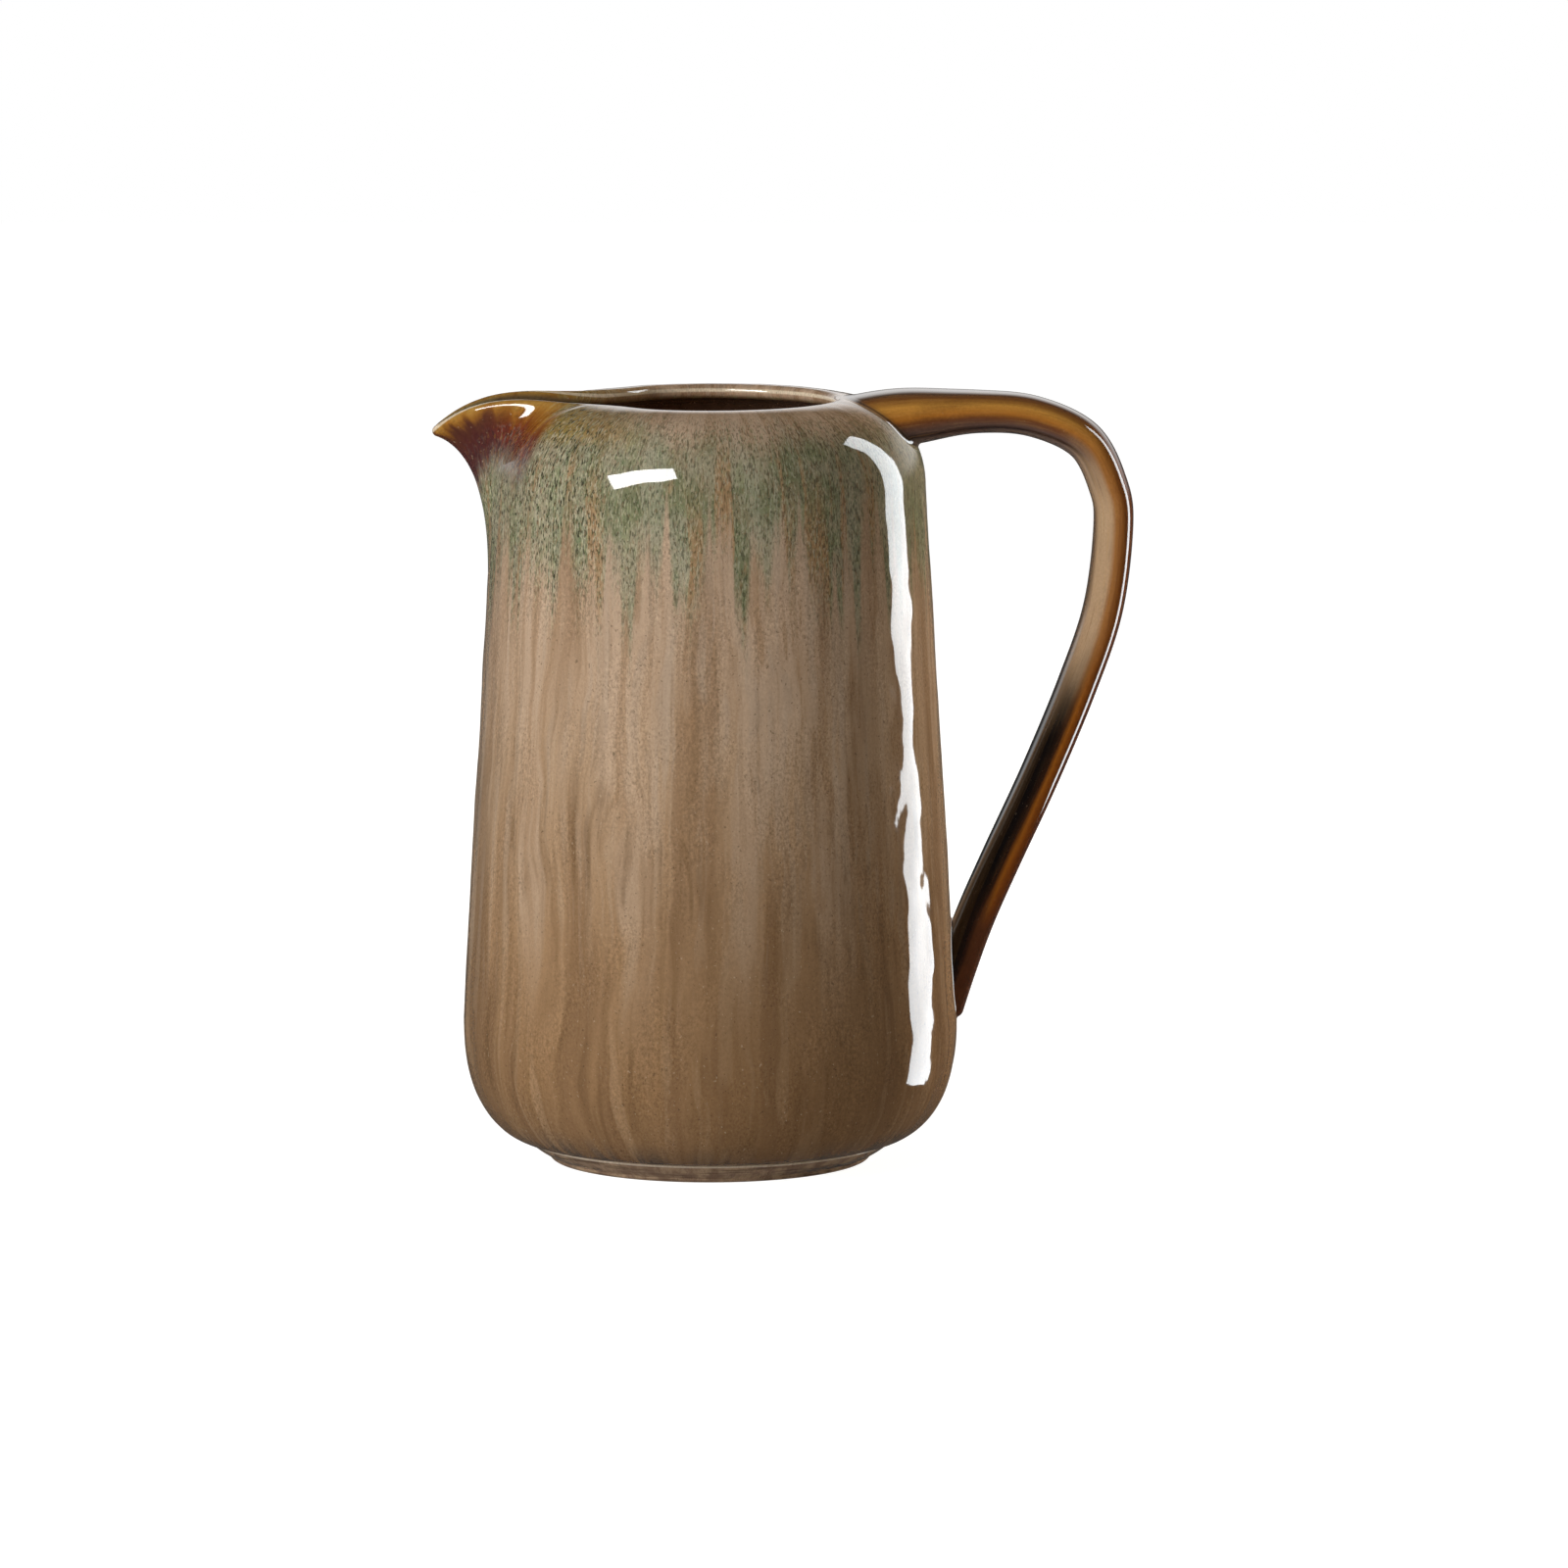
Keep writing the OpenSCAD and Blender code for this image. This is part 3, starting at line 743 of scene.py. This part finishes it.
def bodyGlazeAndPaintedLightGroup():
    # Tan ground that grows browner downwards, grey-green band with a dripping border, amber and maroon
    # lip with a painted violet reflection, dark inside with painted shade, and a pale rim line that is
    # partly a painted highlight
    tree, given, result = newGroup("bodyGlazeAndPaintedLight", ("Flow", "Lip"), "Color")
    flow = given["Flow"]
    reach, below, lip = parts(given["Lip"])
    path = parts(flow)[2]
    outer = calculate("MAXIMUM", path, 0.0)
    inner = calculate("MAXIMUM", times(path, -1.0), 0.0)
    underRim = calculate("MAXIMUM", below, 0.0)

    # Ground and its wandering runs: browner ones, wide, narrow and thin, paler ones that end above the
    # foot, more of both low down, and dark drips in clouds
    bend = noise(flow, 16, 46, 33.0)
    sway = addNode(tree, "CombineXYZ", {0: bend, 1: times(bend, -1.0), 2: 0.0}).outputs[0]
    run = vectorMath("ADD", flow, vectorMath("MULTIPLY", sway, (9, 9, 0)))
    glaze = colourRamp(calculate("DIVIDE", outer, glazeAndPaintedLight["groundEnd"]), glazeAndPaintedLight["ground"])
    cloud = noise(flow, 22, 34, 3.0)
    wide = noise(run, 9, 150, 1.0)
    narrow = noise(run, 4, 70, 5.0)
    thin = noise(run, 1.7, 46, 25.0)
    drips = noise(run, 3.4, 46, 17.0, detail=3, distortion=0.3)
    clouded = times(between(drips, 0.52, 0.7), between(cloud, 0.4, 0.56))
    upper, low = between(outer, 190, 140), between(outer, 70, 130)
    lowest = between(outer, 110, 170)
    for layer in (
            (between(wide, 0.49, 0.62), 0.6, (128, 100, 74)),
            (times(between(wide, 0.48, 0.37), upper), 0.5, (176, 152, 129)),
            (between(narrow, 0.52, 0.65), 0.46, (138, 108, 79)),
            (times(between(narrow, 0.46, 0.34), upper), 0.35, (156, 138, 120)),
            (times(between(wide, 0.5, 0.58), lowest), 0.42, (108, 80, 53)),
            (times(between(narrow, 0.47, 0.36), lowest), 0.4, (152, 124, 95)),
            (between(thin, 0.53, 0.66), 0.22, (108, 82, 54)),
            (times(between(thin, 0.46, 0.32), upper), 0.14, (184, 164, 142)),
            (times(clouded, low), 0.52, (92, 68, 44))):
        glaze = painted(glaze, *layer)

    # Browner patch low on the near side, towards the handle
    around = vectorMath("MULTIPLY", flow, (1, 1, 0))
    apart = swung(vectorMath("DISTANCE", around, (-20, 56.6, 0)), wide, 40.0)
    browner = times(between(apart, 44, 10), between(outer, 85, 185))
    glaze = painted(glaze, browner, 0.42, (100, 74, 48))

    # Band of grey-green, from just under the rim to its dripping border, broken by warm runs
    hang = noise(flow, 4.4, 600, 12.0, roughness=0.6)
    border = swung(glazeAndPaintedLight["bandEnd"], hang, glazeAndPaintedLight["bandDrips"])
    left = calculate("SUBTRACT", border, outer)
    start = calculate("ADD", swung(outer, wide, 16.0), between(reach, 8.0, 26.0, 0.0, 11.0))
    band = times(between(left, -glazeAndPaintedLight["bandBlur"], glazeAndPaintedLight["bandBlur"]),
                 between(start, *glazeAndPaintedLight["bandStart"]))
    patches, blot = noise(flow, 15, 20, 3.0), noise(flow, 5, 9, 21.0)
    columns = noise(run, 4.2, 110, 15.0)
    green = mixed(between(patches, 0.42, 0.56), colour(137, 130, 107), colour(103, 107, 79))
    warm = times(between(columns, 0.53, 0.59), between(left, 34.0, 10.0))
    for layer in (
            (between(blot, 0.55, 0.66), 0.4, (130, 112, 90)),
            (between(blot, 0.44, 0.33), 0.45, (124, 130, 96)),
            (between(columns, 0.47, 0.38), 0.5, (144, 143, 122)),
            (warm, 0.85, (146, 113, 80))):
        green = painted(green, *layer)
    glaze = mixed(times(band, 0.92), glaze, green)

    # Strip of olive and tan that runs on along the rim beside the lip
    depth = swung(underRim, thin, 5.0)
    strip = times(between(reach, 12.0, 30.0), between(depth, 8.5, 3.0))
    olive = mixed(between(reach, 26, 40), colour(146, 116, 76), colour(142, 114, 54))
    glaze = mixed(times(strip, 0.92), glaze, olive)

    # Dashes in the band, more of them beside the lip
    beside = calculate("MULTIPLY_ADD", between(reach, 16.0, 44.0), 0.5, 0.62)
    scattered = times(between(left, -20.0, 12.0), between(start, 3.0, 20.0), beside)
    glaze = dashed(glaze, flow, scattered, glazeAndPaintedLight["bandDashes"])

    # Lip: amber along its edge, then maroon, then violet, a painted reflection, and grey, with dashes and a
    # dark point
    ragged = swung(reach, thin, 14.0)
    depth = swung(underRim, thin, 9.0)
    lipColourAndReflection = colourRamp(calculate("DIVIDE", depth, glazeAndPaintedLight["lipDepth"]), glazeAndPaintedLight["lip"])
    lipMask = times(between(ragged, *glazeAndPaintedLight["lipReach"]), between(depth, glazeAndPaintedLight["lipDepth"], 12.0),
                    between(lip, 0.01, 0.06))
    glaze = mixed(lipMask, glaze, lipColourAndReflection)
    under = times(lipMask, between(below, 5.0, 8.5))
    glaze = dashed(glaze, flow, under, glazeAndPaintedLight["lipDashes"])
    point = times(between(depth, 1.5, 4.5), between(depth, 19, 12), between(reach, 51, 62))
    glaze = painted(glaze, point, 0.8, (64, 34, 34))

    # Inside: brown with greenish blots at the top, darkest below them, a dark glaze with painted shade on
    # it, and paler further down. On the rim, a thin pale line, partly the glaze breaking thin and partly a
    # painted highlight
    fall = swung(inner, wide, 12.0)
    inside = colourRamp(calculate("DIVIDE", fall, glazeAndPaintedLight["insideEnd"]), glazeAndPaintedLight["inside"])
    moss = times(between(blot, 0.48, 0.6), between(fall, 9.0, 5.0))
    inside = painted(inside, moss, 0.5, (104, 104, 72))
    glaze = mixed(between(inner, 0.3, 2.2), glaze, inside)
    # Thin pale line round the crest of the rim: the glaze breaking thin at the edge, and a painted
    # highlight
    edge = between(calculate("ABSOLUTE", calculate("SUBTRACT", path, 0.5)), 0.7, 0.25)
    glaze = painted(glaze, edge, 0.75, (214, 198, 172))
    tree.links.new(grained(glaze, flow, 1.1, 0.45), result)
    return tree


# Handle's glaze and painted light: the ramps from the inner face to the outer one, and the stretches of the
# handle, in mm from its root, over which each gives way to the next and the tail's colour comes in. Besides
# the glaze's own colours,
# the ramps paint reflections and shade: under the top of the handle a grey reflection of the floor and a
# dark line, in the middle the jug's tan reflected on the inner face and a dark outer edge, and low down a
# nearly black painted shade on the inner face
strapGlazeAndPaintedLight = dict(
    # Each ramp runs from the inner face, at 0, to the outer one, at 1, and mixes glaze colour with painted
    # reflections and shade
    top=[(0.0, (112, 97, 90)), (0.14, (104, 87, 80)), (0.2, (44, 30, 28)), (0.28, (90, 70, 62)),
         (0.44, (104, 62, 34)), (0.56, (158, 99, 36)), (0.76, (184, 130, 56)), (0.9, (118, 74, 32)),
         (1.0, (84, 62, 42))],
    middle=[(0.0, (98, 76, 56)), (0.1, (160, 133, 104)), (0.42, (178, 147, 114)), (0.55, (158, 106, 58)),
            (0.76, (142, 84, 33)), (0.92, (110, 62, 30)), (1.0, (48, 32, 30))],
    bottom=[(0.0, (9, 5, 4)), (0.4, (14, 8, 6)), (0.54, (50, 27, 12)), (0.66, (146, 84, 22)),
            (0.78, (128, 68, 16)), (1.0, (62, 30, 18))],
    toMiddle=(58, 84), toBottom=(118, 154), toTail=(190, 212), streaksEnd=(150, 110))


def handleGlazeAndPaintedLightGroup():
    # Three ramps that take over from each other along the handle, with painted reflections and shade across
    # the section, streaks that fade towards its tail, and a red-brown tail on its outer side
    tree, given, result = newGroup("handleGlazeAndPaintedLight", ("Around", "Outward"), "Color")
    around = given["Around"]
    streak = noise(around, 3.2, 26, 2.0, detail=3, roughness=0.6)
    thread = noise(around, 0.9, 16, 12.0, roughness=0.6)
    patches = noise(around, 14, 24, 6.0)
    facing = calculate("MULTIPLY_ADD", swung(given["Outward"], streak, 0.27), 0.5, 0.5)
    along = swung(parts(around)[2], patches, 30.0)
    # Ramps across the section: glaze colour with painted reflections and shade
    top, middle, bottom = (colourRamp(facing, strapGlazeAndPaintedLight[ramp]) for ramp in ("top", "middle", "bottom"))
    glaze = mixed(between(along, *strapGlazeAndPaintedLight["toMiddle"]), top, middle)
    glaze = mixed(between(along, *strapGlazeAndPaintedLight["toBottom"]), glaze, bottom)
    tail = times(between(along, *strapGlazeAndPaintedLight["toTail"]), between(facing, 0.45, 0.65, 0.1, 0.9))
    glaze = mixed(tail, glaze, colour(84, 47, 27))
    light = between(along, *strapGlazeAndPaintedLight["streaksEnd"], 0.15, 1.0)
    for mask, amount, shade in (
            (between(thread, 0.52, 0.7), 0.26, (70, 40, 22)),
            (between(thread, 0.45, 0.32), 0.16, (176, 130, 74)),
            (between(patches, 0.52, 0.68), 0.28, (84, 48, 24))):
        glaze = painted(glaze, times(mask, light), amount, shade)
    tree.links.new(grained(glaze, around, 0.5, 0.1), result)
    return tree


bodyGlazeAndPaintedLight = bodyGlazeAndPaintedLightGroup()
handleGlazeAndPaintedLight = handleGlazeAndPaintedLightGroup()


# Materials

def newMaterial(name):
    material = bpy.data.materials.new(name)
    material.use_nodes = True
    tree = material.node_tree
    return material, tree, tree.nodes["Principled BSDF"]


def attribute(tree, name, output="Fac"):
    return addNode(tree, "Attribute", attribute_name=name).outputs[output]


def finishGlaze(tree, shader, flow, glaze, runs, fine, roughness):
    # Glossy glaze: the colour, and the glaze's height through a bump
    height = useGroup(tree, surface, {"Flow": flow, "Runs": runs, "Fine": fine})
    bump = addNode(tree, "Bump", {"Strength": 1.0, "Distance": mm, "Height": height})
    tree.links.new(glaze, shader.inputs["Base Color"])
    tree.links.new(bump.outputs[0], shader.inputs["Normal"])
    shader.inputs["Roughness"].default_value = roughness
    shader.inputs["IOR"].default_value = 1.52


def bodyMaterial():
    # Glaze whose runs stand out less on the shoulder than below it, and a thin one under the jug
    material, tree, shader = newMaterial("bodyGlazeAndPaintedLight")
    flow = attribute(tree, "flow", "Vector")
    glaze = useGroup(tree, bodyGlazeAndPaintedLight, {"Flow": flow, "Lip": attribute(tree, "lip", "Vector")})
    under = grained(colour(104, 80, 60), flow, 1.2, 0.5)
    glaze = mixed(attribute(tree, "under"), glaze, under)
    runs = between(parts(flow)[2], 40, 66, 0.014, 0.036)
    finishGlaze(tree, shader, flow, glaze, runs, fine=0.0015, roughness=0.045)
    return material


def handleMaterial():
    material, tree, shader = newMaterial("handleGlazeAndPaintedLight")
    around = attribute(tree, "around", "Vector")
    glaze = useGroup(tree, handleGlazeAndPaintedLight, {"Around": around, "Outward": attribute(tree, "outward")})
    finishGlaze(tree, shader, around, glaze, runs=0.02, fine=0.0012, roughness=0.05)
    return material


def jointMaterial():
    # Handle's glaze and painted light that give way to the body's, with a dark crease between them
    material, tree, shader = newMaterial("jointGlazeAndPaintedLight")
    flow, around = attribute(tree, "flow", "Vector"), attribute(tree, "around", "Vector")
    place = attribute(tree, "toWall")
    farBelow = (0, 99, 0)                           # no lip beside a joint
    wallSide = useGroup(tree, bodyGlazeAndPaintedLight, {"Flow": flow, "Lip": farBelow})
    strapSide = useGroup(tree, handleGlazeAndPaintedLight, {"Around": around, "Outward": attribute(tree, "outward")})
    glaze = mixed(between(place, 0.25, 0.85), strapSide, wallSide)
    crease = times(between(place, 0.34, 0.46), between(place, 0.6, 0.5))
    glaze = painted(glaze, crease, 0.7, (44, 28, 20))
    finishGlaze(tree, shader, flow, glaze, runs=0.02, fine=0.0012, roughness=0.05)
    return material


def footMaterial():
    # Thin streaked glaze with darker pools, a pale painted highlight on the bead at the seam, and bare clay
    # where it stands
    material, tree, shader = newMaterial("footGlazeAndHighlight")
    flow = attribute(tree, "flow", "Vector")
    height = parts(flow)[2]
    streak = noise(flow, 5, 3, 2.0, detail=3, roughness=0.6)
    glaze = mixed(between(streak, 0.35, 0.65), colour(156, 132, 108), colour(124, 101, 84))
    pooled = noise(flow, 22, 0.7, 8.0)
    glaze = painted(glaze, between(pooled, 0.5, 0.66), 0.6, (70, 54, 46))
    # Painted highlight along the glaze bead at the seam
    bead = times(between(height, 4.95, 5.25), between(height, 5.75, 5.5))
    glaze = painted(glaze, bead, 0.85, (205, 190, 172))
    bare = between(calculate("MULTIPLY_ADD", streak, 0.5, height), 0.75, 0.45)
    glaze = mixed(bare, glaze, colour(128, 106, 86))
    glaze = grained(glaze, flow, 0.9, 0.4)
    finishGlaze(tree, shader, flow, glaze, runs=0.02, fine=0.002, roughness=0.06)
    tree.links.new(between(bare, 0.0, 1.0, 0.06, 0.7), shader.inputs["Roughness"])
    return material


# Pieces

def placePieces():
    jointFinish = jointMaterial()
    for piece, node, slot, finish in (
            (buildBody(), "body", "body_glaze", bodyMaterial()),
            (buildFoot(), "foot_ring", "foot_glaze", footMaterial()),
            (buildHandle(), "handle", "handle_glaze", handleMaterial()),
            (buildJoint("rootSlip", rootAt, 1, joints["root"]),
             "upper_slip_joint", "handle_glaze", jointFinish),
            (buildJoint("tailSlip", tailAt, -1, joints["tail"]),
             "lower_slip_joint", "handle_glaze", jointFinish)):
        piece.data.materials.append(finish)
        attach(piece, "root")
        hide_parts(node)
        piece.visible_glossy = slot != "handle_glaze"       # the strip lamp's line stays whole on the wall
        print(piece.name, "has", len(piece.data.polygons), "faces and stands for", node)


# Floor, world and lamps

room = dict(floor=6.0, floorGlow=(0.88, 0.985), floorFade=(0.12, 0.5), floorShade=0.25,
            floorTone=0.6, ambient=0.12, ambientTint=(1, 0.86, 0.66), glow=0.05, backGlow=1.0)


def placeFloor():
    # Pale floor. The camera sees it dull, with the shadow and a glow that grows outwards, and all other
    # rays see a plain one
    half = room["floor"] / 2
    corners = [(-half, -half, 0), (half, -half, 0), (half, half, 0), (-half, half, 0)]
    mesh = bpy.data.meshes.new("floor")
    mesh.from_pydata(corners, [], [(0, 1, 2, 3)])
    floor = newObject("floor", mesh)
    material, tree, shader = newMaterial("paleFloor")
    shader.inputs["Base Color"].default_value = (room["floorTone"],) * 3 + (1,)
    shader.inputs["Roughness"].default_value = 0.9
    shader.inputs["Specular IOR Level"].default_value = 0
    shown = addNode(tree, "BsdfDiffuse", {"Color": (room["floorShade"],) * 3 + (1,)})
    away = vectorMath("LENGTH", addNode(tree, "TexCoord").outputs["Object"])
    strength = between(away, *room["floorFade"], *room["floorGlow"])
    glow = addNode(tree, "Emission", {"Strength": strength})
    seen = addNode(tree, "AddShader", {0: shown.outputs[0], 1: glow.outputs[0]})
    cameraRay = addNode(tree, "LightPath").outputs["Is Camera Ray"]
    mix = addNode(tree, "MixShader", {0: cameraRay, 1: shader.outputs[0], 2: seen.outputs[0]})
    tree.links.new(mix.outputs[0], tree.nodes["Material Output"].inputs["Surface"])
    floor.data.materials.append(material)
    floor.visible_glossy = False                    # the lamps reach below it in the reflections


def lightWorld():
    # White to the camera, dark in reflections but for a bright stretch low behind the jug, and otherwise
    # a dim warm light
    world = bpy.data.worlds.new("studio")
    bpy.context.scene.world = world
    world.use_nodes = True
    tree = world.node_tree
    ray = addNode(tree, "LightPath").outputs
    direction = parts(addNode(tree, "TexCoord").outputs["Generated"])
    low, high = between(direction[2], -0.02, 0.12), between(direction[2], 0.5, 0.22)
    behind = times(between(direction[1], 0.3, 0.9), times(low, high))
    seen = calculate("MULTIPLY_ADD", behind, room["backGlow"], room["glow"])
    strength = addNode(tree, "Mix", {0: ray["Is Glossy Ray"], 2: room["ambient"], 3: seen}).outputs[0]
    strength = addNode(tree, "Mix", {0: ray["Is Camera Ray"], 2: strength, 3: 1.0}).outputs[0]
    tree.links.new(strength, tree.nodes["Background"].inputs["Strength"])
    white = calculate("MAXIMUM", ray["Is Glossy Ray"], ray["Is Camera Ray"])
    tint = mixed(white, room["ambientTint"] + (1,), (1, 1, 1, 1))
    tree.links.new(tint, tree.nodes["Background"].inputs["Color"])


# Each lamp: its place round the jug in degrees to the right of the camera, how far off, the height of
# its middle, its width and height in metres, how it leans and rolls, how bright its face is, and
# whether it shows in reflections alone or lights the colours alone
lamps = dict(
    keyShine=dict(side=-37.1, away=0.8, middle=0.577, size=(0.6, 0.24), lean=4.8, roll=26.3, glow=22,
                  shine=True),
    stripShine=dict(side=112.1, away=0.65, middle=0.317, size=(0.2, 1.02), lean=-4, roll=2, glow=8.4,
                    shine=True, tint=(0.9, 0.96, 1)),
    softKey=dict(side=-46, away=1.7, middle=0.72, size=(1.2, 1.1), lean=20, roll=0, glow=8.9,
                 shine=False, tint=(0.96, 0.985, 1)),
    softSide=dict(side=138, away=1.0, middle=0.36, size=(0.5, 1.0), lean=0, roll=0, glow=15,
                  shine=False, shadow=False, tint=(1, 0.9, 0.74)))


def placeLamp(name, lamp):
    side, lean, roll = (radians(lamp[part]) for part in ("side", "lean", "roll"))
    outwards = Vector((sin(side), -cos(side), 0))
    across = Vector((cos(side), sin(side), 0))
    upwards = Vector((0, 0, 1)) * cos(lean) - outwards * sin(lean)
    wide = across * cos(roll) + upwards * sin(roll)
    high = upwards * cos(roll) - across * sin(roll)
    turn = Matrix((wide, high, wide.cross(high))).transposed()
    place = outwards * lamp["away"] + Vector((0, 0, lamp["middle"]))
    width, height = lamp["size"]
    data = bpy.data.lights.new(name, "AREA")
    data.shape = "RECTANGLE"
    data.size = width
    data.size_y = height
    data.energy = lamp["glow"] * pi * width * height
    data.color = lamp.get("tint", (1, 1, 1))
    data.use_shadow = lamp.get("shadow", True)
    light = newObject(name, data)
    light.matrix_world = Matrix.Translation(place) @ turn.to_4x4()
    light.visible_camera = False
    light.visible_diffuse = not lamp["shine"]
    light.visible_glossy = lamp["shine"]


placeCamera()
placePieces()
placeFloor()
lightWorld()
for lampName, lampSizes in lamps.items():
    placeLamp(lampName, lampSizes)
print("camera, floor and", len(lamps), "lamps placed")

bpy.context.scene.view_settings.view_transform = "Standard"

bpy.context.view_layer.update()
